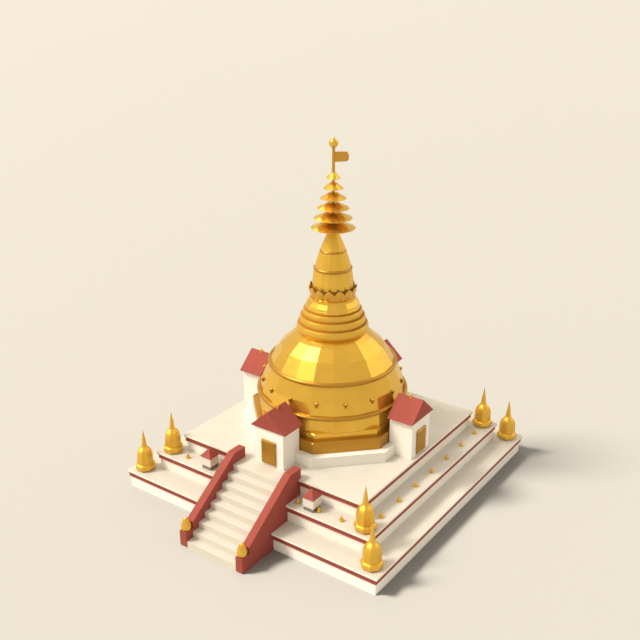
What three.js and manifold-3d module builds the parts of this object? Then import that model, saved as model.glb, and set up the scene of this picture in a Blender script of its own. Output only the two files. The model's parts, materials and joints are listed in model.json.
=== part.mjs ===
// A gilded temple stupa on three square terraces, with four small shrines around its bell.
// Millimetres, +Z up. The origin is on the stupa's axis, on the level ground under the terraces.
// The stair climbs the side that faces -Y.
import * as THREE from 'three';
import { mergeVertices } from 'three/addons/utils/BufferGeometryUtils.js';
import Module from 'manifold-3d';

const wasm = await Module();
wasm.setup();

// Pieces that touch keep this gap
const SEAT = 0.3;

// Terraces, from the ground up: the wall's half side, and the height of the floor on top
const TERRACES = [
  { name: 'lower_terrace', half: 9045, top: 1170 },
  { name: 'middle_terrace', half: 7710, top: 2275 },
  { name: 'upper_terrace', half: 6475, top: 3330 },
];
const CAP_OVERHANG = 145;
const CAP_THICKNESS = 155;
const BAND_OVERHANG = 55;
const BAND_HEIGHT = 260;
const BAND_DEPTH = 400;

// Stair on the -Y side, with a sloping wall on each side of it
const STAIR_FRONT = -11700;
const STAIR_HALF_WIDTH = 1820;
const TREADS = 9;
const TREAD_DEPTH = 520;
const SIDE_WALL_THICKNESS = 475;
const SIDE_WALL_FRONT = -11740;
const SIDE_WALL_END = -6420;
const SIDE_WALL_FOOT_HEIGHT = 940;
const SIDE_WALL_TOP_HEIGHT = 3990;
const SIDE_WALL_SLOPE = 0.7;
const BUD_PAD_LENGTH = 610;
const BUD_RADIUS = 300;
const BUD_HEIGHT = 830;

// Eight-sided base under the bell: corner radius and top height of each tier
const PLINTH = { radius: 5720, top: 3990 };
const LOWER_TIER = { radius: 5225, top: 4725 };
const UPPER_TIER = { radius: 4895, top: 5135 };

// Bell: a twenty-sided dome, given as radius and height at its edges
const BELL_SIDES = 20;
const BELL_EDGES = [[4485, 5135], [4550, 5980], [4342, 6830], [3830, 7970], [3193, 8925], [2466, 9568],
  [1900, 9750]];
const LOWER_BELT = { radius: 4705, height: 6020, tube: 128 };
const UPPER_BELT = { radius: 4002, height: 7862, tube: 135 };
const STUDS = 16;
const STUD_HEIGHT = 6770;
const STUD_EDGES = [[0, -165], [55, -70], [95, 40], [70, 110], [0, 140]];

// Neck rings above the bell, from the widest up: outer radius and top height
const NECK_RINGS = [
  { name: 'lower_neck_ring', radius: 2210, top: 10345 },
  { name: 'middle_neck_ring', radius: 1979, top: 10815 },
  { name: 'upper_neck_ring', radius: 1791, top: 11230 },
];
const BOWL_SIDES = 16;
const BOWL_EDGES = [[1690, 11230], [1713, 11290], [1702, 11370], [1687, 11400], [1608, 11650], [1521, 11860],
  [1425, 12035], [1371, 12050], [1371, 12190]];

// Ring of lotus petals around the foot of the spire
const PETALS = 14;
const PETAL_RING = { inner: 1265, foot: 1310, lip: 1450, valley: 12490, tip: 12727 };

// Spire, with two rounded rings on it
const SPIRE_FOOT_RADIUS = 1235;
const SPIRE_SIDES = 16;
const SPIRE_EDGES = [[1257, 12950], [1191, 13500], [1002, 14250], [896, 14560], [674, 15175], [543, 15482],
  [415, 15786], [237, 16235]];
const SPIRE_RINGS = [
  { radius: 1170, height: 13793, tube: 105 },
  { radius: 800, height: 14859, tube: 85 },
];

// Crown of umbrella tiers, each fixed around the mast: rim radius from the lowest up
const TIER_RIMS = [1338, 1147, 962, 774, 592, 417];
const TIER_SIDES = 12;
const TIER_PITCH = 585;
const TIER_RISE = 345;
const TIER_RIM_THICKNESS = 20;
const TIER_TOP_SHARE = 0.32;

// Mast, weather vane, orb and the bud on top; the vane's sleeve turns on the mast's thinner upper end
const MAST_RADIUS = 92;
const SPINDLE_RADIUS = 55;
const VANE = { sleeve: 92, seat: 20030, sleeveTop: 20915, low: 20098, high: 20690, reach: 884, notch: 110,
  thickness: 40, turn: 35.5 };
const VANE_CLEARANCE = 6;
const ORB = { radius: 270, height: 21180, seat: 90 };
const TIP_BUD = { radius: 64, height: 320 };

// Shrines: a walled room under a gabled roof, one on each side of the bell, built here on the -Y side
const SHRINES = [
  { name: 'front_shrine', turn: 0 },
  { name: 'right_shrine', turn: 90 },
  { name: 'back_shrine', turn: 180 },
  { name: 'left_shrine', turn: 270 },
];
const SHRINE = { half: 1040, front: -6410, back: -4875, eaves: 5720, wall: 220 };
const SHRINE_FLOOR = 3515;
const ROOF = { half: 1280, front: -6510, back: -4810, ridge: 6880 };
const ROOF_FINIAL = { at: -5655, radius: 110, foot: 6740, tip: 7160 };
const LEAF = { half: 500, low: 3470, high: 4990, thickness: 80, clearance: 8, panel: 24 };
const DOORWAY = { half: 455, high: 4945 };
const PINTLE = { reach: 30, radius: 12, arm: 16, armThickness: 26, length: 90, heights: [3760, 4680] };
const KNUCKLE = { radius: 26, bore: 14, length: 78 };

// Small gilded stupas on the corners of the two lower terraces: a round foot, then a twelve-sided bell and spike
const CORNER_STUPAS = [
  { name: 'lower', terrace: 0, from_axis: 8385 },
  { name: 'middle', terrace: 1, from_axis: 7122 },
];
const CORNERS = [
  { name: 'front_left', x: -1, y: -1 },
  { name: 'front_right', x: 1, y: -1 },
  { name: 'back_right', x: 1, y: 1 },
  { name: 'back_left', x: -1, y: 1 },
];
const CORNER_STUPA_FOOT = [[480, 0], [560, 70], [595, 190], [595, 300], [548, 400], [505, 470]];
const CORNER_STUPA_SIDES = 12;
const CORNER_STUPA_EDGES = [[505, 300], [505, 560], [503, 800], [465, 1010], [410, 1235], [336, 1469], [202, 1590],
  [167, 1660], [119, 2040], [0, 2745]];

// Spirit houses on the middle terrace, one each side of the stair
const SPIRIT_HOUSES = [
  { name: 'left_spirit_house', x: -3935 },
  { name: 'right_spirit_house', x: 3660 },
];
const SPIRIT_HOUSE = { y: -7250, foot: 273, footTop: 2510, half: 361, eaves: 3100, roof: 420, apex: 3600 };

const WHITE = { color: 0xf6efe2, roughness: 0.85, metalness: 0 };
const CREAM = { color: 0xf3e4cb, roughness: 0.85, metalness: 0 };
const RED = { color: 0xa8382c, roughness: 0.75, metalness: 0 };
const GOLD = { color: 0xd9a02a, roughness: 0.25, metalness: 1 };
const DOOR_GOLD = { color: 0xa9762b, roughness: 0.4, metalness: 0.6 };

const stupa = new THREE.Group();

// Adds one named piece to a group
function piece(name, geometry, finish, group = stupa) {
  const mesh = new THREE.Mesh(geometry, new THREE.MeshStandardMaterial(finish));
  mesh.name = name;
  group.add(mesh);
}

// Turns a closed geometry into a solid that can be cut and joined
function toSolid(geometry) {
  const bare = geometry.clone();
  bare.deleteAttribute('normal');
  bare.deleteAttribute('uv');
  const merged = mergeVertices(bare, 1e-3);
  const index = merged.index.array;
  const corners = [];
  for (let i = 0; i < index.length; i += 3) {
    const [a, b, c] = [index[i], index[i + 1], index[i + 2]];
    if (a !== b && b !== c && c !== a) corners.push(a, b, c);
  }
  const mesh = new wasm.Mesh({
    numProp: 3,
    vertProperties: Float32Array.from(merged.attributes.position.array),
    triVerts: Uint32Array.from(corners),
  });
  return new wasm.Manifold(mesh);
}

// Turns a solid back into a geometry
function fromSolid(solid) {
  const mesh = solid.getMesh();
  const geometry = new THREE.BufferGeometry();
  geometry.setAttribute('position', new THREE.BufferAttribute(mesh.vertProperties, 3));
  geometry.setIndex(new THREE.BufferAttribute(mesh.triVerts, 1));
  geometry.computeVertexNormals();
  return geometry;
}

function join(geometries) {
  return geometries.map(toSolid).reduce((whole, part) => whole.add(part));
}

// A box between two corners
function block(low, high) {
  const size = high.map((value, i) => value - low[i]);
  const middle = high.map((value, i) => (value + low[i]) / 2);
  return new THREE.BoxGeometry(...size).translate(...middle);
}

// A square slab centred on the axis
function slab(half, bottom, top) {
  return block([-half, -half, bottom], [half, half, top]);
}

// A turned shape: [radius, height] points from the foot up, closed on the axis at both ends
function turned(points, sides, turn = 0) {
  const [first, last] = [points[0], points[points.length - 1]];
  const profile = points.map(([radius, height]) => new THREE.Vector2(radius, height));
  if (first[0] > 0) profile.unshift(new THREE.Vector2(0, first[1]));
  if (last[0] > 0) profile.push(new THREE.Vector2(0, last[1]));
  return new THREE.LatheGeometry(profile, sides, turn).rotateX(Math.PI / 2);
}

// A turned ring: a closed loop of [radius, height] points, counter-clockwise
function turnedRing(points, sides) {
  const profile = [...points, points[0]].map(([radius, height]) => new THREE.Vector2(radius, height));
  return new THREE.LatheGeometry(profile, sides).rotateX(Math.PI / 2);
}

// An outline of [y, z] points, made solid between two x values
function sideways(outline, low, high) {
  const shape = new THREE.Shape(outline.map(([y, z]) => new THREE.Vector2(y, z)));
  const geometry = new THREE.ExtrudeGeometry(shape, { depth: high - low, bevelEnabled: false });
  const toFrame = new THREE.Matrix4().makeBasis(
    new THREE.Vector3(0, 1, 0),
    new THREE.Vector3(0, 0, 1),
    new THREE.Vector3(1, 0, 0),
  );
  return geometry.applyMatrix4(toFrame).translate(low, 0, 0);
}

// Points on a rounded rim, from its lower to its upper end
function roundedRim(radius, tube, height, steps = 6) {
  const points = [];
  for (let i = 0; i <= steps; i += 1) {
    const angle = -Math.PI / 2 + (Math.PI * i) / steps;
    points.push([radius - tube + tube * Math.cos(angle), height + tube * Math.sin(angle)]);
  }
  return points;
}

// One terrace: a block of masonry with a floor slab over it, and a red band let in under the slab
function addTerrace({ name, half, top }, bottom) {
  const bandTop = top - CAP_THICKNESS;
  const bandBottom = bandTop - BAND_HEIGHT;
  const core = half - BAND_DEPTH;
  const body = toSolid(slab(half, bottom, bandBottom))
    .add(toSolid(slab(core, bottom, top)))
    .add(toSolid(slab(half + CAP_OVERHANG, bandTop, top)));
  const band = toSolid(slab(half + BAND_OVERHANG, bandBottom + SEAT, bandTop - SEAT))
    .subtract(toSolid(slab(core + SEAT, bandBottom, bandTop)));
  piece(`${name}_body`, fromSolid(body), CREAM);
  piece(`${name}_band`, fromSolid(band), RED);
}

// The terraces' side towards -Y as [y, z] points going down, for what is built against it
function terraceSide() {
  const points = [];
  for (let i = TERRACES.length - 1; i >= 0; i -= 1) {
    const { half, top } = TERRACES[i];
    const cap = -(half + CAP_OVERHANG + SEAT);
    const band = -(half + BAND_OVERHANG + SEAT);
    const wall = -(half + SEAT);
    const bandTop = top - CAP_THICKNESS;
    const bandBottom = bandTop - BAND_HEIGHT;
    const foot = i > 0 ? TERRACES[i - 1].top + SEAT : 0;
    points.push([cap, top + SEAT], [cap, bandTop - SEAT], [band, bandTop - SEAT], [band, bandBottom]);
    points.push([wall, bandBottom], [wall, foot]);
  }
  return points;
}

// Stair: risers and treads going up, then back down the terraces' side
function addStair() {
  const outline = [];
  const rise = TERRACES[2].top / TREADS;
  for (let i = 0; i < TREADS; i += 1) {
    const nose = STAIR_FRONT + i * TREAD_DEPTH;
    outline.push([nose, i * rise], [nose, (i + 1) * rise]);
  }
  const back = terraceSide();
  back[0][1] = TERRACES[2].top;
  const flight = sideways([...outline, ...back].reverse(), -STAIR_HALF_WIDTH + SEAT, STAIR_HALF_WIDTH - SEAT);
  piece('stair_flight', flight, CREAM);
}

// Sloping wall beside the stair, with a level pad at its foot for the lotus bud
function addSideWall(name, low, high) {
  const padEnd = SIDE_WALL_FRONT + BUD_PAD_LENGTH;
  const slopeFoot = SIDE_WALL_FOOT_HEIGHT + SIDE_WALL_SLOPE * BUD_PAD_LENGTH;
  const slopeEnd = padEnd + (SIDE_WALL_TOP_HEIGHT - slopeFoot) / SIDE_WALL_SLOPE;
  const outline = [
    [SIDE_WALL_FRONT, 0],
    [SIDE_WALL_FRONT, SIDE_WALL_FOOT_HEIGHT],
    [padEnd, SIDE_WALL_FOOT_HEIGHT],
    [padEnd, slopeFoot],
    [slopeEnd, SIDE_WALL_TOP_HEIGHT],
    [SIDE_WALL_END, SIDE_WALL_TOP_HEIGHT],
    [SIDE_WALL_END, TERRACES[2].top + SEAT],
    ...terraceSide(),
  ];
  piece(`${name}_stair_wall`, sideways(outline.reverse(), low, high), RED);
  const r = BUD_RADIUS;
  const h = BUD_HEIGHT;
  const bud = turned([[0.72 * r, 0], [0.92 * r, 0.1 * h], [r, 0.28 * h], [0.9 * r, 0.5 * h], [0.6 * r, 0.74 * h],
    [0.25 * r, 0.92 * h], [0, h]], 20);
  bud.translate((low + high) / 2, SIDE_WALL_FRONT + r, SIDE_WALL_FOOT_HEIGHT + SEAT);
  piece(`${name}_stair_bud`, bud, GOLD);
}

// An eight-sided tier with flat sides towards X and Y
function addTier(name, { radius, top }, bottom, finish) {
  piece(name, turned([[radius, bottom + SEAT], [radius, top]], 8, Math.PI / 8), finish);
}

// Bell with its studs, and the two belts seated around it
function addBell() {
  const bottom = BELL_EDGES[0][1] + SEAT;
  const edges = BELL_EDGES.map(([radius, height]) => [radius, Math.max(height, bottom)]);
  const studRadius = BELL_EDGES[1][0] + ((BELL_EDGES[2][0] - BELL_EDGES[1][0]) * (STUD_HEIGHT - BELL_EDGES[1][1]))
    / (BELL_EDGES[2][1] - BELL_EDGES[1][1]);
  let bell = toSolid(turned(edges, BELL_SIDES));
  for (let i = 0; i < STUDS; i += 1) {
    const angle = (2 * Math.PI * i) / STUDS;
    const stud = turned(STUD_EDGES, 8)
      .translate(studRadius * Math.cos(angle), studRadius * Math.sin(angle), STUD_HEIGHT);
    bell = bell.add(toSolid(stud));
  }
  piece('bell', fromSolid(bell), GOLD);

  const seat = toSolid(turned(edges.map(([radius, height]) => [radius + SEAT, height]), BELL_SIDES));
  for (const [name, { radius, height, tube }] of [['lower_bell_belt', LOWER_BELT], ['upper_bell_belt', UPPER_BELT]]) {
    const rim = roundedRim(radius, tube, height, 8);
    const inner = radius - 3 * tube;
    const belt = toSolid(turnedRing([[inner, height - tube], ...rim, [inner, height + tube]], 40));
    piece(name, fromSolid(belt.subtract(seat)), GOLD);
  }
}

// Neck: three thick rounded rings, then a sixteen-sided upturned bowl with a collar
function addNeck() {
  let bottom = BELL_EDGES[BELL_EDGES.length - 1][1];
  for (const { name, radius, top } of NECK_RINGS) {
    const tube = (top - bottom - SEAT) / 2;
    piece(name, turned(roundedRim(radius, tube, bottom + SEAT + tube, 8), 40), GOLD);
    bottom = top;
  }
  const edges = BOWL_EDGES.map(([radius, height], i) => [radius, i === 0 ? height + SEAT : height]);
  piece('neck_bowl', turned(edges, BOWL_SIDES), GOLD);
}

// Lotus ring: a flared wall whose top edge runs from petal tip to valley and back
function addPetalRing() {
  const { inner, foot, lip, valley, tip } = PETAL_RING;
  const bottom = BOWL_EDGES[BOWL_EDGES.length - 1][1] + SEAT;
  const ring = turnedRing([[inner, bottom], [foot, bottom], [lip, tip], [lip - 60, tip]], 2 * PETALS);
  const position = ring.attributes.position;
  const column = 5;
  for (let i = 0; i < position.count; i += 1) {
    const side = Math.floor(i / column);
    if (side % 2 === 1 && position.getZ(i) > valley) {
      const share = (valley - bottom) / (tip - bottom);
      const now = Math.hypot(position.getX(i), position.getY(i));
      const from = i % column === 2 ? foot : inner;
      const radius = from + (now - from) * share;
      position.setXYZ(i, (position.getX(i) * radius) / now, (position.getY(i) * radius) / now, valley);
    }
  }
  piece('lotus_petal_ring', ring, GOLD);
}

// Spire: a tapering sixteen-sided bud with two round rings
function addSpire() {
  const foot = BOWL_EDGES[BOWL_EDGES.length - 1][1] + SEAT;
  let spire = toSolid(turned([[SPIRE_FOOT_RADIUS, foot], ...SPIRE_EDGES], SPIRE_SIDES));
  for (const { radius, height, tube } of SPIRE_RINGS) {
    spire = spire.add(toSolid(turned(roundedRim(radius, tube, height), 40)));
  }
  piece('spire', fromSolid(spire), GOLD);
}

// Umbrella tiers, each a low cone with the mast through its middle
function addUmbrella() {
  const bore = (MAST_RADIUS + SEAT) / Math.cos(Math.PI / TIER_SIDES);
  TIER_RIMS.forEach((rim, i) => {
    const low = SPIRE_EDGES[SPIRE_EDGES.length - 1][1] + SEAT + i * TIER_PITCH;
    const cone = turnedRing([[bore, low], [rim, low], [rim, low + TIER_RIM_THICKNESS],
      [rim * TIER_TOP_SHARE, low + TIER_RISE], [bore, low + TIER_RISE]], TIER_SIDES);
    piece(`umbrella_tier_${i + 1}`, cone, GOLD);
  });
}

// Mast with the shoulder that the vane turns on, the orb and the bud at the very top
function addMast() {
  const foot = SPIRE_EDGES[SPIRE_EDGES.length - 1][1] + SEAT;
  const orbSeat = ORB.height - Math.sqrt(ORB.radius ** 2 - ORB.seat ** 2);
  const mast = turned([[MAST_RADIUS, foot], [MAST_RADIUS, VANE.seat], [SPINDLE_RADIUS, VANE.seat],
    [SPINDLE_RADIUS, orbSeat - SEAT]], 24);
  piece('mast', mast, GOLD);

  const start = Math.asin(ORB.seat / ORB.radius);
  const orb = [];
  for (let i = 0; i <= 8; i += 1) {
    const angle = start + ((Math.PI - 2 * start) * i) / 8;
    orb.push([ORB.radius * Math.sin(angle), ORB.height - ORB.radius * Math.cos(angle)]);
  }
  piece('orb', turned(orb, 16), GOLD);

  const budFoot = ORB.height + Math.sqrt(ORB.radius ** 2 - ORB.seat ** 2) + SEAT;
  const bud = turned([[0.8 * TIP_BUD.radius, budFoot], [TIP_BUD.radius, budFoot + 0.2 * TIP_BUD.height],
    [0.7 * TIP_BUD.radius, budFoot + 0.55 * TIP_BUD.height], [0, budFoot + TIP_BUD.height]], 12);
  piece('tip_bud', bud, WHITE);
}

// Weather vane: a flat tail on a sleeve that turns around the mast
function addVane() {
  const { sleeve, seat, sleeveTop, low, high, reach, notch, thickness, turn } = VANE;
  const bore = SPINDLE_RADIUS + VANE_CLEARANCE;
  const tube = turnedRing([[bore, seat + SEAT], [sleeve, seat + SEAT], [sleeve, sleeveTop], [bore, sleeveTop]], 24);
  const root = (bore + sleeve) / 2;
  const outline = new THREE.Shape([[root, low], [reach - notch, low + 45], [reach - 30, low + 130],
    [reach, high - 220], [reach - notch, high], [root, high]].map(([x, z]) => new THREE.Vector2(x, z)));
  const plate = new THREE.ExtrudeGeometry(outline, { depth: thickness, bevelEnabled: false })
    .rotateX(Math.PI / 2).translate(0, thickness / 2, 0);
  const vane = fromSolid(join([tube, plate])).rotateZ(THREE.MathUtils.degToRad(turn));
  piece('weather_vane', vane, GOLD);
}

// The room's walls, with the doorway, the step over the plinth and the hinge pins
function shrineWalls() {
  const { half, front, back, eaves, wall } = SHRINE;
  const floor = TERRACES[2].top + SEAT;
  const plinthFace = -(PLINTH.radius * Math.cos(Math.PI / 8) + SEAT);
  const step = PLINTH.top + SEAT;
  const inside = half - wall;
  let walls = toSolid(block([-half, front, floor], [half, back, eaves]))
    .subtract(toSolid(block([-half - 10, plinthFace, floor - 10], [half + 10, back + 10, step])))
    .subtract(toSolid(block([-inside, front + wall, SHRINE_FLOOR], [inside, plinthFace - wall, eaves + 10])))
    .subtract(toSolid(block([-inside, front + wall, step + wall], [inside, back - wall, eaves + 10])))
    .subtract(toSolid(block([-DOORWAY.half, front - 10, SHRINE_FLOOR], [DOORWAY.half, front + wall + 10, DOORWAY.high])));
  const [axisX, axisY] = hingeAxis();
  for (const height of PINTLE.heights) {
    const arm = block([axisX - PINTLE.arm, axisY - PINTLE.arm, height - PINTLE.armThickness],
      [axisX + PINTLE.arm, front + 5, height]);
    const pin = new THREE.CylinderGeometry(PINTLE.radius, PINTLE.radius, PINTLE.length + 5, 16)
      .rotateX(Math.PI / 2).translate(axisX, axisY, height + PINTLE.length / 2 - 2.5);
    walls = walls.add(toSolid(arm)).add(toSolid(pin));
  }
  return fromSolid(walls);
}

// Where the door leaf turns, as x and y
function hingeAxis() {
  return [-(LEAF.half + PINTLE.reach), SHRINE.front - LEAF.clearance - LEAF.thickness / 2];
}

// Door leaf with a sunk panel, and the two knuckles that sit on the pins
function shrineDoor() {
  const { half, low, high, thickness, clearance, panel } = LEAF;
  const inner = SHRINE.front - clearance;
  const outer = inner - thickness;
  const rail = 130;
  let leaf = toSolid(block([-half, outer, low], [half, inner, high]))
    .subtract(toSolid(block([-half + rail, outer - 10, low + rail], [half - rail, outer + panel, high - rail])));
  const [axisX, axisY] = hingeAxis();
  for (const height of PINTLE.heights) {
    const bottom = height + SEAT;
    const knuckle = turnedRing([[KNUCKLE.bore, bottom], [KNUCKLE.radius, bottom],
      [KNUCKLE.radius, bottom + KNUCKLE.length], [KNUCKLE.bore, bottom + KNUCKLE.length]], 16);
    knuckle.translate(axisX, axisY, 0);
    const strap = block([axisX + KNUCKLE.bore + 4, axisY - 10, bottom], [-half + 5, axisY + 10, bottom + KNUCKLE.length]);
    leaf = leaf.add(toSolid(knuckle)).add(toSolid(strap));
  }
  return fromSolid(leaf);
}

// Gabled roof with a gilded cone on the middle of its ridge
function shrineRoof() {
  const { half, front, back, ridge } = ROOF;
  const eaves = SHRINE.eaves + SEAT;
  const gable = new THREE.Shape([[-half, eaves], [half, eaves], [0, ridge]].map(([x, z]) => new THREE.Vector2(x, z)));
  const prism = new THREE.ExtrudeGeometry(gable, { depth: back - front, bevelEnabled: false })
    .rotateX(Math.PI / 2).translate(0, back, 0);
  const { at, radius, foot, tip } = ROOF_FINIAL;
  const finial = turned([[radius, foot], [radius, 6900], [0.55 * radius, 6970], [0, tip]], 12).translate(0, at, 0);
  return fromSolid(join([prism, finial]));
}

// Shrines on the four sides, each built on the -Y side and turned into place
function addShrines() {
  for (const { name, turn } of SHRINES) {
    const group = new THREE.Group();
    group.rotation.z = THREE.MathUtils.degToRad(turn);
    piece(`${name}_walls`, shrineWalls(), WHITE, group);
    piece(`${name}_roof`, shrineRoof(), RED, group);
    piece(`${name}_door`, shrineDoor(), DOOR_GOLD, group);
    stupa.add(group);
  }
}

function addCornerStupas() {
  for (const { name, terrace, from_axis: fromAxis } of CORNER_STUPAS) {
    for (const corner of CORNERS) {
      const small = fromSolid(join([turned(CORNER_STUPA_FOOT, 24), turned(CORNER_STUPA_EDGES, CORNER_STUPA_SIDES)]))
        .translate(corner.x * fromAxis, corner.y * fromAxis, TERRACES[terrace].top + SEAT);
      piece(`${name}_${corner.name}_stupa`, small, GOLD);
    }
  }
}

function addSpiritHouses() {
  const { y, foot, footTop, half, eaves, roof, apex } = SPIRIT_HOUSE;
  const floor = TERRACES[1].top + SEAT;
  for (const { name, x } of SPIRIT_HOUSES) {
    const body = join([
      block([x - foot, y - foot, floor], [x + foot, y + foot, footTop + 20]),
      block([x - half, y - half, footTop], [x + half, y + half, eaves]),
    ]);
    piece(`${name}_body`, fromSolid(body), WHITE);
    const pyramid = turned([[roof * Math.SQRT2, eaves + SEAT], [0, apex]], 4, Math.PI / 4).translate(x, y, 0);
    piece(`${name}_roof`, pyramid, RED);
  }
}

TERRACES.forEach((terrace, i) => addTerrace(terrace, i > 0 ? TERRACES[i - 1].top + SEAT : 0));
addStair();
addSideWall('left', -STAIR_HALF_WIDTH - SIDE_WALL_THICKNESS, -STAIR_HALF_WIDTH);
addSideWall('right', STAIR_HALF_WIDTH, STAIR_HALF_WIDTH + SIDE_WALL_THICKNESS);
addTier('octagonal_plinth', PLINTH, TERRACES[2].top, WHITE);
addTier('lower_gilded_tier', LOWER_TIER, PLINTH.top, GOLD);
addTier('upper_gilded_tier', UPPER_TIER, LOWER_TIER.top, GOLD);
addBell();
addNeck();
addPetalRing();
addSpire();
addUmbrella();
addMast();
addVane();
addShrines();
addCornerStupas();
addSpiritHouses();

export default stupa;
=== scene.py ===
# %% [markdown]
# A gilded temple stupa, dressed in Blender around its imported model.
#
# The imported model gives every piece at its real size: terraces, stair, shrines, bell, spire, crown.
# This lesson gives each of them its finish, and works out the round and carved pieces again as fine
# surfaces. Lengths are metres, +Z is up, and the stupa's upright axis is x = 0, y = 0.

import json

import bmesh
import bpy
import numpy as np
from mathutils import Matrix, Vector


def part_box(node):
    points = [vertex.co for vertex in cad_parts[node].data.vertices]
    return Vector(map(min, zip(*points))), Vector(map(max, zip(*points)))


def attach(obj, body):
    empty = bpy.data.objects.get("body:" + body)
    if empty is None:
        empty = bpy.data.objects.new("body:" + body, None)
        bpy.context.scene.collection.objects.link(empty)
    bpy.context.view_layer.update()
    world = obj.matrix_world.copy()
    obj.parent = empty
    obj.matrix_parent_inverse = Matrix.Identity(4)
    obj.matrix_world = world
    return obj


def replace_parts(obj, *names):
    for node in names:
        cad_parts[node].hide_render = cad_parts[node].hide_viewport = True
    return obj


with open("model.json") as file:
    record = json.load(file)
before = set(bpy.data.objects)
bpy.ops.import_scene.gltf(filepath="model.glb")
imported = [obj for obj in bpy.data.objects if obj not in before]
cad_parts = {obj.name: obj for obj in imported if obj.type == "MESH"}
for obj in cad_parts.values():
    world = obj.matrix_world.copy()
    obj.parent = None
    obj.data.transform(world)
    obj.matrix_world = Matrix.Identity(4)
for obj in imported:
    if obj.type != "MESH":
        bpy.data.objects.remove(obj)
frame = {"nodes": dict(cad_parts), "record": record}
nodes = frame["nodes"]
slots = {part["node"]: part["material_slot"] for part in frame["record"]["subparts"]}
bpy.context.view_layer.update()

# %% [markdown]
# The photo was taken from high up, in front of the stair and to its right. A place and two angles
# say this plainly: the camera looks back along a line that is turned 35.5 degrees from the stair and
# raised 22 degrees, so both a lit front and a shaded side show. It sees to the end of the floor.

# %% Camera
CAMERA_PLACE = (28.5, -41.298, 30.805)
CAMERA_AZIMUTH = np.radians(35.487)
CAMERA_ELEVATION = np.radians(22.129)
LENS, SENSOR_WIDTH = 50.0, 36.0
NEAREST, FURTHEST = 1.0, 6000.0


def towards(azimuth, elevation):
    """Unit vector: cosine of elevation times sine and minus cosine of azimuth, then sine of elevation."""
    flat = np.cos(elevation)
    return Vector((np.sin(azimuth) * flat, -np.cos(azimuth) * flat, np.sin(elevation)))


camera = bpy.data.objects.new("camera", bpy.data.cameras.new("camera"))
camera.data.lens = LENS
camera.data.sensor_width = SENSOR_WIDTH
camera.data.clip_start = NEAREST
camera.data.clip_end = FURTHEST
camera.location = CAMERA_PLACE
camera.rotation_mode = "QUATERNION"
camera.rotation_quaternion = (-towards(CAMERA_AZIMUTH, CAMERA_ELEVATION)).to_track_quat("-Z", "Y")
bpy.context.scene.collection.objects.link(camera)
bpy.context.scene.camera = camera
print("camera", round(Vector(CAMERA_PLACE).length, 1), "m from the stupa's foot")

# %% [markdown]
# Studio light has one strong lamp at the left inside a broad soft one, two weak ones behind, and pale
# light from everywhere else. Sun lamps keep the floor evenly lit however large it is, and their angle
# sets how soft each shadow's edge is. The floor is a darker card than a white studio's, and a lamp of
# its own from the left makes up for that, so that the shadows on it are as deep as the photo's.

# %% Lamps and surround
SURROUND = (0.80, 0.72, 0.585)
LAMP_COLOUR = (1.0, 0.91, 0.75)
KEY_SIDE = {"azimuth": -49.0, "elevation": 47.5, "angle": 14.0}
LAMPS = {
    "key_lamp": {**KEY_SIDE, "strength": 2.6},
    "floor_lamp": {**KEY_SIDE, "strength": 9.3},
    "key_screen": {"azimuth": -45.0, "elevation": 48.0, "angle": 46.0, "strength": 1.0},
    "left_back_lamp": {"azimuth": -130.0, "elevation": 50.0, "angle": 30.0, "strength": 0.6},
    "right_back_lamp": {"azimuth": 149.0, "elevation": 31.0, "angle": 52.0, "strength": 0.56},
}

world = bpy.data.worlds.new("studio")
world.use_nodes = True
world.node_tree.nodes["Background"].inputs["Color"].default_value = (*SURROUND, 1.0)
bpy.context.scene.world = world
bpy.context.scene.view_settings.view_transform = "Standard"

lamps = {}
for name, lamp in LAMPS.items():
    sun = bpy.data.objects.new(name, bpy.data.lights.new(name, "SUN"))
    sun.data.energy = lamp["strength"]
    sun.data.color = LAMP_COLOUR
    sun.data.angle = np.radians(lamp["angle"])
    sun.rotation_mode = "QUATERNION"
    aim = towards(np.radians(lamp["azimuth"]), np.radians(lamp["elevation"]))
    sun.rotation_quaternion = aim.to_track_quat("Z", "Y")
    bpy.context.scene.collection.objects.link(sun)
    lamps[name] = sun
print(len(lamps), "lamps")

# %% [markdown]
# Every finish starts as one shader whose colour, roughness and metalness are set on its own sockets.
# The real finishes are never quite even, so each of the stupa's is then varied a little. Pictures on
# unwrapped surfaces could do it. Noise in the object's own coordinates needs no unwrapping, is as fine
# as it has to be, and stays fixed to the masonry from every side.

# %% A finish and its noise


def new_finish(name, colour, roughness, metallic=0.0):
    """One shader with that colour, roughness and metalness all over."""
    finish = bpy.data.materials.new(name)
    finish.use_nodes = True
    shader = finish.node_tree.nodes["Principled BSDF"]
    shader.inputs["Base Color"].default_value = (*colour, 1.0)
    shader.inputs["Roughness"].default_value = roughness
    shader.inputs["Metallic"].default_value = metallic
    return finish


def add_noise(finish, size, detail=4.0):
    """Noise from 0 to 1 in the object's own coordinates, its clouds about that many metres wide."""
    tree = finish.node_tree
    noise = tree.nodes.new("ShaderNodeTexNoise")
    noise.inputs["Scale"].default_value = 1.0 / size
    noise.inputs["Detail"].default_value = detail
    place = tree.nodes.new("ShaderNodeTexCoord")
    tree.links.new(place.outputs["Object"], noise.inputs["Vector"])
    return noise


def ranged(finish, value, span, low=0.0, high=1.0):
    """Goes evenly from low to high as the value goes through the span, and stays there beyond it."""
    tree = finish.node_tree
    change = tree.nodes.new("ShaderNodeMapRange")
    change.inputs["From Min"].default_value, change.inputs["From Max"].default_value = span
    change.inputs["To Min"].default_value = low
    change.inputs["To Max"].default_value = high
    tree.links.new(value, change.inputs["Value"])
    return change.outputs["Result"]


def shade_of(colour, factor):
    """The colour times a factor."""
    return tuple(float(v) * factor for v in colour)


print("finishes come from one shader and noise")

# %% [markdown]
# Three kinds of unevenness are enough for masonry and gold: broad clouds of colour, a gloss that
# wanders, and a fine grain. The grain is finer than any mesh here, so it is bump, in shading only.

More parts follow.
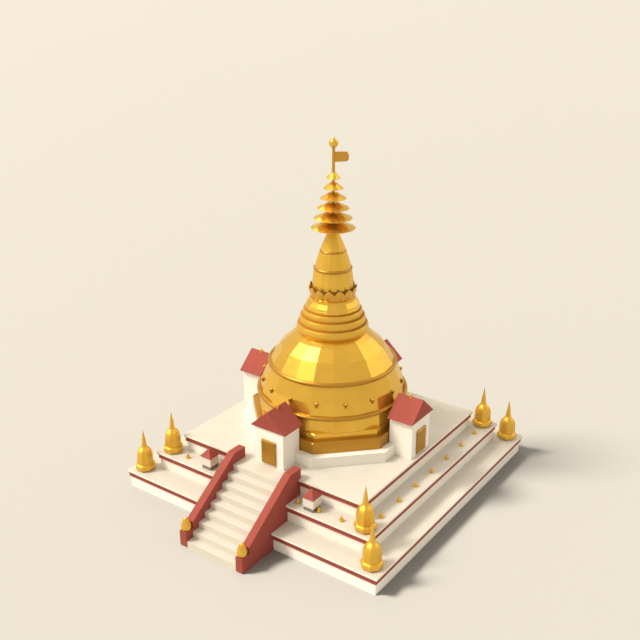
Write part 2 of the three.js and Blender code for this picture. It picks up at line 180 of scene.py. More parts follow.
# %% Clouds, gloss and grain
CLOUD_SPAN = (0.32, 0.68)
GLOSS_SPAN = (0.3, 0.7)
GRAIN_HEIGHT, GRAIN_DETAIL = 0.0012, 6.0


def add_clouds(finish, colour, size, darker, lighter):
    """The colour's factor goes from darker to lighter as noise of that size rises through CLOUD_SPAN."""
    tree = finish.node_tree
    ramp = tree.nodes.new("ShaderNodeValToRGB")
    for stop, position, factor in zip(ramp.color_ramp.elements, CLOUD_SPAN, (darker, lighter)):
        stop.position = position
        stop.color = (*shade_of(colour, factor), 1.0)
    tree.links.new(add_noise(finish, size).outputs["Fac"], ramp.inputs["Fac"])
    tree.links.new(ramp.outputs["Color"], tree.nodes["Principled BSDF"].inputs["Base Color"])


def vary_roughness(finish, noise, low, high):
    """Roughness goes from low to high as the noise rises through GLOSS_SPAN."""
    tree = finish.node_tree
    gloss = ranged(finish, noise.outputs["Fac"], GLOSS_SPAN, low, high)
    tree.links.new(gloss, tree.nodes["Principled BSDF"].inputs["Roughness"])


def add_grain(finish, size):
    """Fine noise of that size, from 0 to 1, raises the surface by GRAIN_HEIGHT metres times itself."""
    tree = finish.node_tree
    bump = tree.nodes.new("ShaderNodeBump")
    bump.inputs["Strength"].default_value = 1.0
    bump.inputs["Distance"].default_value = GRAIN_HEIGHT
    tree.links.new(add_noise(finish, size, GRAIN_DETAIL).outputs["Fac"], bump.inputs["Height"])
    tree.links.new(bump.outputs["Normal"], tree.nodes["Principled BSDF"].inputs["Normal"])


print("grain up to", GRAIN_HEIGHT * 1000.0, "mm deep")

# %% [markdown]
# Limewash over brick is brushed on by hand. The walls are kept whiter than the terraces' floors,
# which are walked on. Each could have a finish of its own, but a terrace is one mesh, and its faces
# would have to be sorted. So one finish does both: it mixes the two shades by how far the surface
# faces up. The lowest walls are whiter still, as painted light for the light that the floor bounces
# onto them. The stair's upright faces are a duller cream, darkened partly as painted shade on the
# risers, and the spirit houses are duller. Broad soft clouds of colour with a fine grain keep every
# shade from looking like plastic.

# %% Limewashed masonry
CREAM_FLOOR = (0.575, 0.552, 0.518)
CREAM_WALL = (0.83, 0.812, 0.77)
# Painted light: the lowest walls' wash is whiter, for the light that the floor bounces onto them.
BASE_WALL_PAINTED_BOUNCE = (0.89, 0.878, 0.84)
# Partly painted shade: the stair's upright faces are a duller cream, darkened further for the shade on the
# risers.
STAIR_CREAM_AND_SHADE = (0.635, 0.595, 0.53)
WHITE = (0.82, 0.803, 0.76)
HOUSE_WHITE = (0.70, 0.675, 0.62)
# Painted shade: the spirit houses' feet are dark grey for the shade under the houses.
FOOT_SHADE_GREY = (0.20, 0.19, 0.165)
WASH_CHANGE = {"darker": 0.97, "lighter": 1.02}
UPWARD_SPAN = (0.3, 0.7)


def limewash(name, colour):
    """Rough wash: wide clouds from three percent darker to two lighter, and a grain of a millimetre."""
    finish = new_finish(name, colour, roughness=0.9)
    add_clouds(finish, colour, size=1.6, **WASH_CHANGE)
    add_grain(finish, size=0.12)
    return finish


def add_upward_shade(finish, colour):
    """The colour takes over as the surface's upward share, its normal's z, goes through UPWARD_SPAN."""
    tree = finish.node_tree
    shown = tree.nodes["Principled BSDF"].inputs["Base Color"]
    wall = shown.links[0].from_socket
    add_clouds(finish, colour, size=1.1, **WASH_CHANGE)
    top = shown.links[0].from_socket
    place = tree.nodes.new("ShaderNodeTexCoord")
    normal = tree.nodes.new("ShaderNodeSeparateXYZ")
    tree.links.new(place.outputs["Normal"], normal.inputs["Vector"])
    mix = tree.nodes.new("ShaderNodeMix")
    mix.data_type = "RGBA"
    tree.links.new(ranged(finish, normal.outputs["Z"], UPWARD_SPAN), mix.inputs["Factor"])
    tree.links.new(wall, mix.inputs["A"])
    tree.links.new(top, mix.inputs["B"])
    tree.links.new(mix.outputs["Result"], shown)


finishes = {"cream_masonry": limewash("cream_limewash", CREAM_WALL),
            "white_masonry": limewash("white_limewash", WHITE)}
stair_wash_with_painted_shade = limewash("stair_limewash_painted_shade", STAIR_CREAM_AND_SHADE)
bounce_painted_base_wash = limewash("base_limewash_painted_bounce", BASE_WALL_PAINTED_BOUNCE)
house_wash = limewash("spirit_house_limewash", HOUSE_WHITE)
painted_shade_feet_wash = limewash("painted_shade_feet_wash", FOOT_SHADE_GREY)
for wash in (finishes["cream_masonry"], stair_wash_with_painted_shade, bounce_painted_base_wash):
    add_upward_shade(wash, CREAM_FLOOR)
print("limewash in cream and white")

# %% [markdown]
# The walls beside the stair, the bands and the roofs are painted in red oxide. The paint is chalky,
# so it has no shine and fades a little in patches. It is made as the limewash is, in one shade.

# %% Red oxide paint
RED = (0.305, 0.055, 0.0395)

red_paint = new_finish("red_oxide_paint", RED, roughness=0.8)
add_clouds(red_paint, RED, size=0.9, darker=0.93, lighter=1.06)
add_grain(red_paint, size=0.1)
finishes["red_masonry"] = red_paint
print("red paint")

# %% [markdown]
# The bell and everything above it are covered in gold leaf, which mirrors the pale sky softly. Leaf
# is laid square by square, so its gloss changes slightly over half a metre. It isn't a perfect
# mirror: a share of its light is scattered in its own colour, so deep joints turn brown, not black.
#
# No two parts are gilded quite alike. The neck rings, the spire and the corner stupas are more matt
# than the bell, and the petals are deeper in colour. The mast and its vane are worn gold. The belts,
# the studs' cups, the spire's rings, the lowest gilded step and the shrines' doors are old gilding,
# browner still. Dark brown sheets in the joints of neck and petals are painted shade, a lacquer-like
# finish put where shade falls in the crevices.

# %% Gold leaf, worn gold, old gold and painted shade
GOLD = (0.77, 0.466, 0.067)
RING_GOLD = shade_of(GOLD, 0.95)
PETAL_GOLD = (0.69, 0.385, 0.055)
WORN_GOLD = (0.585, 0.31, 0.045)
OLD_GOLD = (0.45, 0.235, 0.030)
# Painted shade: dark brown for the shaded crevices between the neck rings.
JOINT_SHADE_BROWN = (0.40, 0.175, 0.010)
# Painted shade: very dark brown for the shade behind the petals.
COLLAR_SHADE_BROWN = (0.20, 0.095, 0.010)


def gilding(name, colour, roughness, metallic):
    """Metal with a gloss that wanders by a seventh, and colour by two percent."""
    finish = new_finish(name, colour, roughness, metallic)
    gloss = add_noise(finish, size=0.5, detail=2.0)
    vary_roughness(finish, gloss, low=roughness * 0.86, high=roughness * 1.14)
    add_clouds(finish, colour, size=0.8, darker=0.98, lighter=1.02)
    return finish


finishes["gilded_masonry"] = gilding("gold_leaf_on_masonry", GOLD, roughness=0.24, metallic=0.82)
finishes["gilded_metal"] = gilding("gold_leaf_on_metal", GOLD, roughness=0.26, metallic=0.80)
finishes["door_wood"] = gilding("gilded_wood", OLD_GOLD, roughness=0.38, metallic=0.75)
worn_gilding = gilding("worn_gold", WORN_GOLD, roughness=0.28, metallic=0.80)
old_gilding = gilding("old_gold_on_masonry", OLD_GOLD, roughness=0.35, metallic=0.75)
ring_gilding = gilding("matt_gold_leaf", RING_GOLD, roughness=0.42, metallic=0.82)
petal_gilding = gilding("petal_gold_leaf", PETAL_GOLD, roughness=0.28, metallic=0.80)
spire_gilding = gilding("spire_gold_leaf", GOLD, roughness=0.33, metallic=0.82)
corner_gilding = gilding("corner_gold_leaf", GOLD, roughness=0.46, metallic=0.80)
# The two dark finishes below are painted shade, for the shade in the joints of neck and petals.
joint_shade_finish = gilding("painted_joint_shade", JOINT_SHADE_BROWN, roughness=0.60, metallic=0.30)
collar_shade_finish = gilding("painted_collar_shade", COLLAR_SHADE_BROWN, roughness=0.60, metallic=0.30)
print("nine gildings and two lacquers")

# %% [markdown]
# The bud at the very top is white glaze, whose gloss varies a little over a few centimetres. With it
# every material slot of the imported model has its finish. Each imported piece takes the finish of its
# slot, apart from a few whose wash or gilding differs from the rest of their slot.

# %% White glaze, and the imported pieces' finishes
GLAZE_WHITE = (0.80, 0.79, 0.76)

glaze = new_finish("white_glaze", GLAZE_WHITE, roughness=0.3)
vary_roughness(glaze, add_noise(glaze, size=0.05), low=0.25, high=0.35)
finishes["white_metal"] = glaze

# The lower terrace's whiter wash is painted bounce light, and the stair's darker wash is partly painted
# shade.
OWN_FINISH = {"lower_terrace_body": bounce_painted_base_wash, "stair_flight": stair_wash_with_painted_shade, "weather_vane": worn_gilding,
              "left_spirit_house_body": house_wash, "right_spirit_house_body": house_wash}
for name, node in nodes.items():
    node.data.materials.clear()
    node.data.materials.append(OWN_FINISH.get(name, finishes[slots[name]]))
print(len(nodes), "pieces of the packed model have their finish")

# %% [markdown]
# A fine round piece is a profile carried around an upright line. The profile is a list of radius and
# height, the angles are even steps, and both together are a grid of points that needs only one rule
# for its faces. Both ends run in to the middle, so the surface is closed. The Screw modifier could
# do this too, but here every point's place is known, and a profile can have few sides or many.

# %% Round surfaces
SMOOTH_SIDES = 96


def grid_faces(rows, columns, closed_rows=False):
    """Four-cornered faces of a grid whose columns run once around and join up again."""
    used_rows = np.arange(rows if closed_rows else rows - 1)
    row, column = np.meshgrid(used_rows, np.arange(columns), indexing="ij")
    beside, above = (column + 1) % columns, (row + 1) % rows
    first, second = row * columns, above * columns
    corners = [first + column, first + beside, second + beside, second + column]
    return np.stack(corners, axis=-1).reshape(-1, 4)


def turned(profile, sides=SMOOTH_SIDES, centre=(0.0, 0.0), turn=0.0, ring=False):
    """Radius times cosine and sine of each angle, at its height. A ring's profile closes on itself."""
    profile = np.asarray(profile, float)
    if not ring:
        profile = np.vstack([(0.0, profile[0, 1]), profile, (0.0, profile[-1, 1])])
    angle = turn + np.linspace(0.0, 2.0 * np.pi, sides, endpoint=False)
    radius, height = profile[:, :1], profile[:, 1:]
    x = centre[0] + radius * np.cos(angle)
    y = centre[1] + radius * np.sin(angle)
    points = np.stack([x, y, np.broadcast_to(height, x.shape)], axis=-1).reshape(-1, 3)
    return points, grid_faces(len(profile), sides, ring)


def joined(shapes):
    """Several shapes as one: points one after another, faces counted on from the points before them."""
    points, faces = zip(*shapes)
    starts = np.cumsum([0] + [len(part) for part in points[:-1]])
    return np.vstack(points), np.vstack([part + start for part, start in zip(faces, starts)])


print("round surfaces have", SMOOTH_SIDES, "sides")

# %% [markdown]
# A shape becomes a piece of the scene in one place. There its seams and poles are welded shut, its
# faces are turned outwards, and it is shaded smooth except along its real edges. Then it gets its
# finish and rides on a body. Not every piece is round, so a block has a rule of its own, and what
# stands on all four sides of the stupa is made once and turned.

# %% Pieces, blocks and quarter turns
SEAM = 1e-5


def make_piece(name, shape, slot, body="building", flat_above=20.0, finish=None):
    """The shape as an object at the origin. Edges sharper than flat_above degrees stay crisp."""
    points, faces = shape
    mesh = bpy.data.meshes.new(name)
    mesh.from_pydata(points.tolist(), [], faces.tolist())
    work = bmesh.new()
    work.from_mesh(mesh)
    bmesh.ops.remove_doubles(work, verts=work.verts, dist=SEAM)
    bmesh.ops.dissolve_degenerate(work, edges=work.edges, dist=SEAM)
    bmesh.ops.recalc_face_normals(work, faces=work.faces)
    work.to_mesh(mesh)
    work.free()
    mesh.polygons.foreach_set("use_smooth", np.ones(len(mesh.polygons), bool))
    mesh.set_sharp_from_angle(angle=np.radians(flat_above))
    piece = bpy.data.objects.new(name, mesh)
    bpy.context.scene.collection.objects.link(piece)
    piece.data.materials.append(finish or finishes[slot])
    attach(piece, body)
    return piece


def block(low, high):
    """The eight corners between two opposite ones, and six faces."""
    share = np.array([(x, y, z) for z in (0, 1) for y in (0, 1) for x in (0, 1)], float)
    points = np.array(low) + share * (np.array(high) - np.array(low))
    faces = [(0, 2, 3, 1), (4, 5, 7, 6), (0, 1, 5, 4), (2, 6, 7, 3), (0, 4, 6, 2), (1, 3, 7, 5)]
    return points, np.array(faces)


def quarter_turned(shape, quarters):
    """The shape turned about the stupa's axis by none, one, two or three right angles."""
    points, faces = shape
    cosine, sine = (1, 0, -1, 0)[quarters], (0, 1, 0, -1)[quarters]
    x, y, z = points.T
    return np.stack([cosine * x - sine * y, sine * x + cosine * y, z], axis=-1), faces


print("points closer than", SEAM, "m are welded")

# %% [markdown]
# The terraces' red bands are carried up over the lower part of the floor slab's edge, so each band
# looks like one broad painted line. A stripe in the wall's finish would be flat, so a band is a
# profile with a step in it, turned on four sides. A square's corners lie further out than its sides,
# by the square root of two.

# %% Red bands
SQUARE_SIDES, SQUARE_TURN, SQUARE_CORNER = 4, np.pi / 4, np.sqrt(2.0)
TERRACE_WALLS = {"lower_terrace": 9.045, "middle_terrace": 7.710, "upper_terrace": 6.475}
BAND_FACE, BAND_LIP, BAND_INNER = 0.075, 0.149, -0.2
BAND_DROP, LIP_HEIGHT = 0.015, 0.036

for name, wall in TERRACE_WALLS.items():
    low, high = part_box(name + "_band")
    bottom, top = low.z - BAND_DROP, high.z + LIP_HEIGHT
    section = [(BAND_INNER, bottom), (BAND_FACE, bottom), (BAND_FACE, high.z), (BAND_LIP, high.z),
               (BAND_LIP, top), (BAND_INNER, top)]
    profile = [((wall + reach) * SQUARE_CORNER, height) for reach, height in section]
    shape = turned(profile, SQUARE_SIDES, turn=SQUARE_TURN, ring=True)
    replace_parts(make_piece(name + "_painted_band", shape, "red_masonry"), name + "_band")
print(len(TERRACE_WALLS), "bands")

# %% [markdown]
# The bell stands on two eight-sided steps with finely bevelled edges, and the upper step's corners
# stand out a little beyond the bell. Between step and belt the bell ends in an upright skirt with the
# bell's own twenty sides. All three are profiles on flat sides, and a bevel is one more point in the
# profile, so it needs no modifier.

# %% Gilded steps and skirt
STEP_SIDES, STEP_TURN = 8, np.pi / 8
LOWER_STEP = [(5.225, 3.990), (5.225, 4.665), (5.165, 4.725)]
UPPER_STEP = [(4.895, 4.7253), (4.895, 5.095), (4.855, 5.135), (4.500, 5.140)]
BELL_SIDES = 20
SKIRT = [(4.400, 5.1353), (4.610, 5.1353), (4.590, 5.520), (4.562, 5.950), (4.400, 5.950)]

lower_step = make_piece("lower_step", turned(LOWER_STEP, STEP_SIDES, turn=STEP_TURN), "gilded_masonry",
                        finish=old_gilding)
upper_step = make_piece("upper_step", turned(UPPER_STEP, STEP_SIDES, turn=STEP_TURN), "gilded_masonry")
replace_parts(lower_step, "lower_gilded_tier")
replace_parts(upper_step, "upper_gilded_tier")
make_piece("bell_skirt", turned(SKIRT, BELL_SIDES, ring=True), "gilded_masonry", flat_above=8.0)
print("two gilded steps and the skirt")

# %% [markdown]
# Two belts of old gold are moulded around the bell. Blender has a torus of its own, but the rule for
# round surfaces makes one as easily: a small circle carried around the axis. It is as high as the
# packed belt and reaches as far out.

# %% Bell belts
BELT_SIDES, TUBE_SIDES = 128, 20


def belt(radius, height, tube, sides):
    """Circle of the tube's radius whose outermost point is at radius, carried around the axis."""
    circle = np.linspace(0.0, 2.0 * np.pi, TUBE_SIDES, endpoint=False)
    profile = np.stack([radius - tube + tube * np.cos(circle), height + tube * np.sin(circle)], axis=-1)
    return turned(profile, sides, ring=True)


for name in ("lower_bell_belt", "upper_bell_belt"):
    low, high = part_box(name)
    shape = belt(high.x, (low.z + high.z) / 2.0, (high.z - low.z) / 2.0, BELT_SIDES)
    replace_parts(make_piece(name + "_moulding", shape, "gilded_masonry", finish=old_gilding), name)
print("two belts")

# %% [markdown]
# The neck is three stacked rings. Round ones would mirror the lamp in a bright line each, and the
# photo's don't. So each bulges at half its height, and its upper half turns up too little for that. A
# thin washer of dark, lacquer-like brown lies on each ring's ledge as painted shade, and draws the
# crevice's shade as a line above the ring. Under the lowest ring the bell ends in a shoulder with its
# own twenty sides.
#
# A bowl with sixteen flat sides closes the neck: an undercut foot, a fine bevel, then a slope up to
# the petals. The profiles were measured on the photo, ring by ring.

# %% Neck rings, shoulder and bowl
RING_RADII = {"lower_neck_ring": 2.200, "middle_neck_ring": 2.015, "upper_neck_ring": 1.820}
RING_UNDER, LOWEST_UNDER = 0.06, 0.18
RING_OVER = 0.28
LEDGE_RISE = 0.04
LOWEST_LIFT = 0.055
WASHER_DEPTH, WASHER_SINK, WASHER_EDGE, WASHER_CREST = 0.32, 0.01, 0.012, 0.06
SHOULDER = [(1.700, 9.560), (2.470, 9.566), (1.830, 9.935), (1.700, 9.935)]
BOWL_SIDES = 16
BOWL = [(1.640, 11.2303), (1.700, 11.380), (1.665, 11.460), (1.640, 11.500), (1.620, 11.610),
        (1.440, 11.880), (1.410, 11.960), (1.385, 12.020)]


def ring_side(radius, under, low, high, steps=12):
    """Radius minus the belly distance squared, times the undercut below and RING_OVER half heights above."""
    share = np.linspace(-1.0, 1.0, 2 * steps + 1)
    half = (high - low) / 2.0
    side = radius - np.where(share < 0.0, under, RING_OVER * half) * share ** 2
    return np.stack([side, low + half * (1.0 + share)], axis=-1)


washers = []
for name, radius in RING_RADII.items():
    low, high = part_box(name)
    lowest = name == "lower_neck_ring"
    bottom = low.z + (LOWEST_LIFT if lowest else 0.0)
    side = ring_side(radius, LOWEST_UNDER if lowest else RING_UNDER, bottom, high.z + LEDGE_RISE)
    ring = make_piece(name + "_moulding", turned(side), "gilded_masonry", flat_above=35.0,
                      finish=ring_gilding)
    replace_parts(ring, name)
    outer, ledge = side[-1]
    inner, under = outer - WASHER_DEPTH, ledge - WASHER_SINK
    washer = [(inner, under), (outer, under), (outer, ledge + WASHER_EDGE), (inner, ledge + WASHER_CREST)]
    washers.append(turned(washer, ring=True))
make_piece("bell_shoulder", turned(SHOULDER, BELL_SIDES, ring=True), "gilded_masonry", flat_above=8.0)
# The washers are painted shade, dark brown where the crevices between the rings are shaded.
make_piece("neck_joints", joined(washers), "gilded_masonry", finish=joint_shade_finish)
bowl = make_piece("bowl_sides", turned(BOWL, BOWL_SIDES), "gilded_masonry", flat_above=8.0)
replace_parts(bowl, "neck_bowl")
print(len(washers), "neck rings, the shoulder and the bowl")

# %% [markdown]
# A row of sixteen studs runs around the bell. Each is a little cup of old gold that holds a gold
# bead. Cup and bead are turned about upright lines just outside the bell's flat faces.

# %% Studs on the bell
STUDS, STUD_SIDES = 16, 16
STUD_RADIUS, STUD_HEIGHT = 4.357, 6.77
CUP = [(0.0, -0.215), (0.070, -0.110), (0.122, 0.020), (0.135, 0.110), (0.105, 0.125), (0.085, 0.090)]
BEAD_RADIUS, BEAD_RISE, BEAD_REACH = 0.075, 0.09, 0.03
BEAD_POINTS = 9


def stud_row(profile, radius):
    """The profile turned about an upright line at each stud's even step of angle, at that radius."""
    angle = np.arange(STUDS) * 2.0 * np.pi / STUDS
    places = np.stack([radius * np.cos(angle), radius * np.sin(angle)], axis=-1)
    return joined([turned(profile, STUD_SIDES, place) for place in places])


around = np.linspace(0.0, np.pi, BEAD_POINTS)
bead_height = STUD_HEIGHT + BEAD_RISE - BEAD_RADIUS * np.cos(around)
bead_profile = np.stack([BEAD_RADIUS * np.sin(around), bead_height], axis=-1)
cup_profile = np.array(CUP) + (0.0, STUD_HEIGHT)
make_piece("stud_cups", stud_row(cup_profile, STUD_RADIUS), "gilded_masonry", flat_above=50.0,
           finish=old_gilding)
make_piece("stud_beads", stud_row(bead_profile, STUD_RADIUS + BEAD_REACH), "gilded_masonry",
           flat_above=50.0)
print(STUDS, "studs")

# %% [markdown]
# A ring of fourteen lotus petals opens around the foot of the spire. Each petal stands up from the
# bowl, bulges a little along its middle and leans out evenly to a point. It could be sculpted, but
# as a surface of two parameters, across from edge to edge and up from foot to tip, it is exactly
# alike fourteen times. Its width shrinks to nothing at the tip along a pointed arch, and its
# neighbours touch it below the notches. Behind the petals a collar of dark brown fills the joint as
# painted shade, so the gaps between their points look deep and shaded.

# %% Lotus petals
PETALS = 14
PETAL_FOOT_RADIUS, PETAL_FOOT_HEIGHT = 1.295, 12.02
PETAL_TIP_RADIUS = 1.460
PETAL_NOTCH = 0.52
ARCH_FALL, ARCH_POINT = 1.9, 0.85
PETAL_KEEL, KEEL_FOOT, KEEL_RISE = 0.05, 0.15, 0.75
PETAL_THICKNESS = 0.03
COLLAR = [(1.150, 12.000), (1.255, 12.000), (1.335, 12.330), (1.265, 12.660), (1.150, 12.660)]


def petal_sheet(middle, inset, across=17, up=19):
    """Width stays full below the notch, then falls as a pointed arch. Radius grows evenly, plus a keel."""
    tip_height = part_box("lotus_petal_ring")[1].z
    side, rise = np.meshgrid(np.linspace(-1.0, 1.0, across), np.linspace(0.0, 1.0, up), indexing="xy")
    past_notch = np.clip((rise - PETAL_NOTCH) / (1.0 - PETAL_NOTCH), 0.0, 1.0)
    width = (np.pi / PETALS) * (1.0 - past_notch ** ARCH_FALL) ** ARCH_POINT
    lean = (PETAL_TIP_RADIUS - PETAL_FOOT_RADIUS) * rise
    keel = PETAL_KEEL * np.cos(np.pi / 2.0 * side) * np.sin(np.pi * (KEEL_FOOT + KEEL_RISE * rise))
    radius = PETAL_FOOT_RADIUS + lean + keel - inset
    angle = middle + side * width
    height = PETAL_FOOT_HEIGHT + (tip_height - PETAL_FOOT_HEIGHT) * rise
    return np.stack([radius * np.cos(angle), radius * np.sin(angle), height], axis=-1)


def petal(middle):
    """Outer and inner sheet, joined along their edges into one thin closed shell."""
    outer = petal_sheet(middle, 0.0)
    inner = petal_sheet(middle, PETAL_THICKNESS)
    around = np.concatenate([outer, inner[:, ::-1]], axis=1)
    up, columns = around.shape[:2]
    column = np.arange(columns // 2 - 1)
    foot_faces = np.stack([column, columns - 1 - column, columns - 2 - column, column + 1], axis=-1)
    return around.reshape(-1, 3), np.vstack([grid_faces(up, columns), foot_faces])


petal_angles = np.radians(-90.0) + np.arange(PETALS) * 2.0 * np.pi / PETALS
petals = make_piece("lotus_petals", joined([petal(middle) for middle in petal_angles]), "gilded_masonry",
                    flat_above=40.0, finish=petal_gilding)
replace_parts(petals, "lotus_petal_ring")
# The collar is painted shade, a dark sheet where the petals shade the foot of the spire.
make_piece("petal_collar", turned(COLLAR, ring=True), "gilded_masonry", finish=collar_shade_finish)
print(PETALS, "petals,", len(petals.data.polygons), "faces")

# %% [markdown]
# The spire has sixteen flat sides, which narrow in gentle steps, and two thin rings of old gold. It
# is a profile of straight stretches on sixteen sides. The rings are belts like the bell's, each given
# by its radius, its height and its tube's radius.

# %% Spire
SPIRE_SIDES = 16
SPIRE_PROFILE = [(1.235, 12.1903), (1.257, 12.950), (1.191, 13.500), (1.002, 14.250), (0.896, 14.560),
                 (0.674, 15.175), (0.543, 15.482), (0.415, 15.786), (0.237, 16.235)]
SPIRE_RINGS = [(1.170, 13.793, 0.105), (0.800, 14.859, 0.085)]

spire = make_piece("spire_sides", turned(SPIRE_PROFILE, SPIRE_SIDES), "gilded_masonry", flat_above=5.0,
                   finish=spire_gilding)
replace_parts(spire, "spire")
make_piece("spire_rings", joined([belt(*ring, SMOOTH_SIDES) for ring in SPIRE_RINGS]), "gilded_masonry",
           finish=old_gilding)
print("spire with", len(SPIRE_RINGS), "rings")

# %% [markdown]
# A lotus bud stands on the foot of each stair wall, and a small one ends the mast. A bud swells and
# closes without a corner. A Subdivision Surface would round a coarse profile but shrink it, so the
# profile is a smooth curve that goes through all of a few points. They were measured on the photo, as
# shares of the bud's radius and height.

# %% Buds
BUD_SIDES = 48
STAIR_BUD = [(0.72, 0.0), (0.92, 0.10), (1.0, 0.28), (0.9, 0.50), (0.6, 0.74), (0.25, 0.92), (0.0, 1.0)]
TIP_BUD = [(0.8, 0.0), (1.0, 0.2), (0.92, 0.38), (0.70, 0.55), (0.35, 0.78), (0.0, 1.0)]


def smooth_profile(points, steps=6):
    """Curve through all the points: each stretch is a cubic with slopes from the neighbouring points."""
    points = np.asarray(points, float)
    before = np.vstack([points[:1], points[:-2]])
    start, end = points[:-1], points[1:]
    after = np.vstack([points[2:], points[-1:]])
    t = np.linspace(0.0, 1.0, steps, endpoint=False)[:, None, None]
    square = 2.0 * before - 5.0 * start + 4.0 * end - after
    cube = 3.0 * start - before - 3.0 * end + after
    curve = 0.5 * (2.0 * start + (end - before) * t + square * t ** 2 + cube * t ** 3)
    return np.vstack([curve.transpose(1, 0, 2).reshape(-1, 2), points[-1:]])


def middle_of(low, high):
    """Half the way between two corners, in x and y."""
    return (low.x + high.x) / 2.0, (low.y + high.y) / 2.0


def bud(name, outline):
    """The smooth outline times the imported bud's radius and height, around its middle."""
    low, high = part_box(name)
    radius, height = (high.x - low.x) / 2.0, high.z - low.z
    profile = smooth_profile(outline) * (radius, height) + (0.0, low.z)
    return turned(np.clip(profile, (0.0, low.z), (radius, high.z)), BUD_SIDES, middle_of(low, high))


buds = {"left_stair_bud": (STAIR_BUD, "gilded_masonry"), "right_stair_bud": (STAIR_BUD, "gilded_masonry"),
        "tip_bud": (TIP_BUD, "white_metal")}
for name, (outline, slot) in buds.items():
    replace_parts(make_piece(name + "_turned", bud(name, outline), slot, flat_above=50.0), name)
print(len(buds), "buds")

# %% [markdown]
# Above the umbrella tiers stands the mast, with a thin spindle for the vane to turn on, and over the
# vane an orb. The orb's profile is a circle cut off flat at both ends, where the spindle and the bud
# meet it. The mast's has a step at the vane's seat.

# %% Orb and mast
ORB_SEAT, ORB_SIDES, ORB_POINTS = 0.09, 64, 33
SPINDLE_RADIUS, MAST_SIDES = 0.055, 48

low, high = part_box("orb")
orb_radius = high.x
start = np.arcsin(ORB_SEAT / orb_radius)
angle = np.linspace(start, np.pi - start, ORB_POINTS)
orb_height = (low.z + high.z) / 2.0 - orb_radius * np.cos(angle)
orb_profile = np.stack([orb_radius * np.sin(angle), orb_height], axis=-1)
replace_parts(make_piece("orb_turned", turned(orb_profile, ORB_SIDES), "gilded_metal"), "orb")

low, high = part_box("mast")
vane_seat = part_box("weather_vane")[0].z
mast_profile = [(high.x, low.z), (high.x, vane_seat), (SPINDLE_RADIUS, vane_seat), (SPINDLE_RADIUS, high.z)]
mast = make_piece("mast_turned", turned(mast_profile, MAST_SIDES), "gilded_metal", finish=worn_gilding)
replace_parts(mast, "mast")
print("orb", round(2.0 * orb_radius, 2), "m across, vane's seat", round(vane_seat, 2), "m up")

# %% [markdown]
# Eight small stupas mark the corners. Each has a moulded foot, a bell and a slim spire, all with the
# same eight flat sides. The profiles of foot and bell are smooth curves, so each side shades softly
# from top to bottom while its upright edges stay crisp. One could be made and copied, but a finished
# piece keeps its place in its mesh, so each is worked out where it stands.

# %% Corner stupas
CORNER_SIDES, CORNER_TURN = 8, np.pi / 8
CORNER_FOOT = [(0.510, 0.0), (0.595, 0.060), (0.636, 0.170), (0.632, 0.290), (0.580, 0.390), (0.490, 0.430)]
CORNER_BELL = [(0.505, 0.300), (0.520, 0.560), (0.519, 0.800), (0.504, 1.010), (0.460, 1.200),
               (0.390, 1.345), (0.300, 1.445), (0.222, 1.525), (0.179, 1.600), (0.162, 1.690)]
CORNER_SPIRE = [(0.119, 2.040), (0.0, 2.745)]


def corner_stupa(centre, foot_height):
    """Foot, then bell and spire, both on eight sides that face the terraces' edges and corners."""
    foot = smooth_profile(CORNER_FOOT, steps=4) + (0.0, foot_height)
    bell = np.vstack([smooth_profile(CORNER_BELL, steps=4), CORNER_SPIRE]) + (0.0, foot_height)
    return joined([turned(shape, CORNER_SIDES, centre, CORNER_TURN) for shape in (foot, bell)])


corner_names = [name for name in nodes if name.endswith("_stupa")]
for name in corner_names:
    low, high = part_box(name)
    stupa = make_piece(name + "_turned", corner_stupa(middle_of(low, high), low.z), "gilded_masonry",
                       flat_above=22.0, finish=corner_gilding)
    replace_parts(stupa, name)
print(len(corner_names), "corner stupas")

# %% [markdown]
# The two spirit houses stand on low feet, set back a little under the walls. The feet are dark grey
# as painted shade, for the shade under the houses. They are plain blocks, because so little of them shows.

# %% Spirit houses' feet
HOUSE_PLACES = (-3.935, 3.660)
HOUSE_Y, HOUSE_FOOT_HALF, HOUSE_FOOT_TOP = -7.250, 0.335, 2.512

terrace_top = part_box("middle_terrace_body")[1].z
house_feet = [block((x - HOUSE_FOOT_HALF, HOUSE_Y - HOUSE_FOOT_HALF, terrace_top),
                    (x + HOUSE_FOOT_HALF, HOUSE_Y + HOUSE_FOOT_HALF, HOUSE_FOOT_TOP)) for x in HOUSE_PLACES]
# The feet's dark grey is painted shade.
make_piece("spirit_house_feet", joined(house_feet), "white_masonry", finish=painted_shade_feet_wash)
print(len(house_feet), "feet")

# %% [markdown]
# A gilded cone stands on the ridge of each shrine's roof. The door leaves are plain gilded boards
# with a bevelled rail along the top that catches the light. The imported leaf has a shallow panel, so
# a board fills it, and board and rail ride on the leaf and swing with it.

# %% Shrine cones and doors
SHRINES = ("front", "right", "back", "left")
CONE_SIDES = 24
RIDGE_CONE = [(0.118, 6.740), (0.118, 6.905), (0.080, 6.925), (0.070, 6.975), (0.0, 7.170)]
RIDGE_CONE_PLACE = (0.0, -5.655)
PANEL_HALF, PANEL_LOW, PANEL_HIGH = 0.370, 3.600, 4.860
LEAF_HALF, LEAF_FRONT, LEAF_TOP, PANEL_DEPTH = 0.500, -6.498, 4.990, 0.024
RAIL_HEIGHT, RAIL_REACH = 0.045, 0.024


def door_rail():
    """Wedge whose sloping face runs from the leaf's top edge out and down. Its ends repeat a corner."""
    under = LEAF_TOP - RAIL_HEIGHT
    section = [(LEAF_FRONT, LEAF_TOP), (LEAF_FRONT - RAIL_REACH, under), (LEAF_FRONT, under)]
    points = np.array([(side, y, z) for side in (-LEAF_HALF, LEAF_HALF) for y, z in section])
    return points, np.array([(0, 1, 4, 3), (1, 2, 5, 4), (2, 0, 3, 5), (0, 2, 1, 0), (3, 4, 5, 3)])


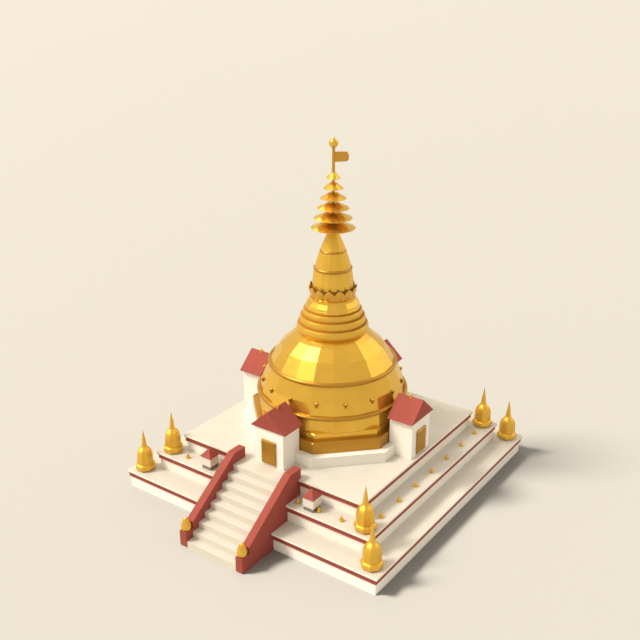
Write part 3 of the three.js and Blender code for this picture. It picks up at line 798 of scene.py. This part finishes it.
board = block((-PANEL_HALF, LEAF_FRONT, PANEL_LOW), (PANEL_HALF, LEAF_FRONT + PANEL_DEPTH, PANEL_HIGH))
rail = door_rail()
ridge_cone = turned(RIDGE_CONE, CONE_SIDES, RIDGE_CONE_PLACE)
ridge_cones = [quarter_turned(ridge_cone, quarters) for quarters in range(len(SHRINES))]
make_piece("ridge_cones", joined(ridge_cones), "gilded_masonry", flat_above=50.0)
for quarters, shrine in enumerate(SHRINES):
    body = shrine + "_shrine_door"
    make_piece(shrine + "_door_board", quarter_turned(board, quarters), "door_wood", body)
    make_piece(shrine + "_door_rail", quarter_turned(rail, quarters), "gilded_masonry", body)
print(len(SHRINES), "ridge cones and doors")

# %% [markdown]
# A row of small gilded cones stands along the edges of the middle terrace. They are too small to be
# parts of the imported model, so they are worked out here: one turned cone, repeated at even steps.
# Along the front, where the stair and the spirit houses stand, each place was measured on the photo.

# %% Cones along the middle terrace
CONE = [(0.125, 0.0), (0.134, 0.040), (0.124, 0.110), (0.090, 0.180), (0.042, 0.240), (0.024, 0.300),
        (0.0, 0.400)]
CONE_LINE, CONE_STEP, CONES_ALONG = 7.28, 1.907, 7
FRONT_CONES = (5.694, 4.160, 2.704, -2.730, -5.746)

row = (np.arange(CONES_ALONG) - CONES_ALONG // 2) * CONE_STEP
cone_places = [(side, y) for side in (-CONE_LINE, CONE_LINE) for y in row]
cone_places += [(x, CONE_LINE) for x in row] + [(x, -CONE_LINE) for x in FRONT_CONES]
cone_profile = np.array(CONE) + (0.0, terrace_top)
cones = joined([turned(cone_profile, CONE_SIDES, place) for place in cone_places])
make_piece("terrace_cones", cones, "gilded_masonry", flat_above=50.0)
print(len(cone_places), "cones")

# %% [markdown]
# The floor is one plain sheet, so wide that its far edge lies beyond the picture. A card curved up
# behind the stupa would hide that edge too, but only from the front. It is a matt grey card, and with
# its own lamp it comes out in the pale, warm tone of the photo's floor.

# %% Floor
FLOOR_GREY = (0.198, 0.199, 0.200)
FLOOR_REACH = 2500.0

corners = np.array([(-1.0, -1.0, 0.0), (1.0, -1.0, 0.0), (1.0, 1.0, 0.0), (-1.0, 1.0, 0.0)]) * FLOOR_REACH
floor_mesh = bpy.data.meshes.new("floor")
floor_mesh.from_pydata(corners.tolist(), [], [(0, 1, 2, 3)])
floor_mesh.materials.append(new_finish("pale_floor", FLOOR_GREY, roughness=0.9))
floor = bpy.data.objects.new("floor", floor_mesh)
bpy.context.scene.collection.objects.link(floor)

floor_only = bpy.data.collections.new("floor_only")
floor_only.objects.link(floor)
lamps["floor_lamp"].light_linking.receiver_collection = floor_only
print("floor", 2 * FLOOR_REACH, "m across")
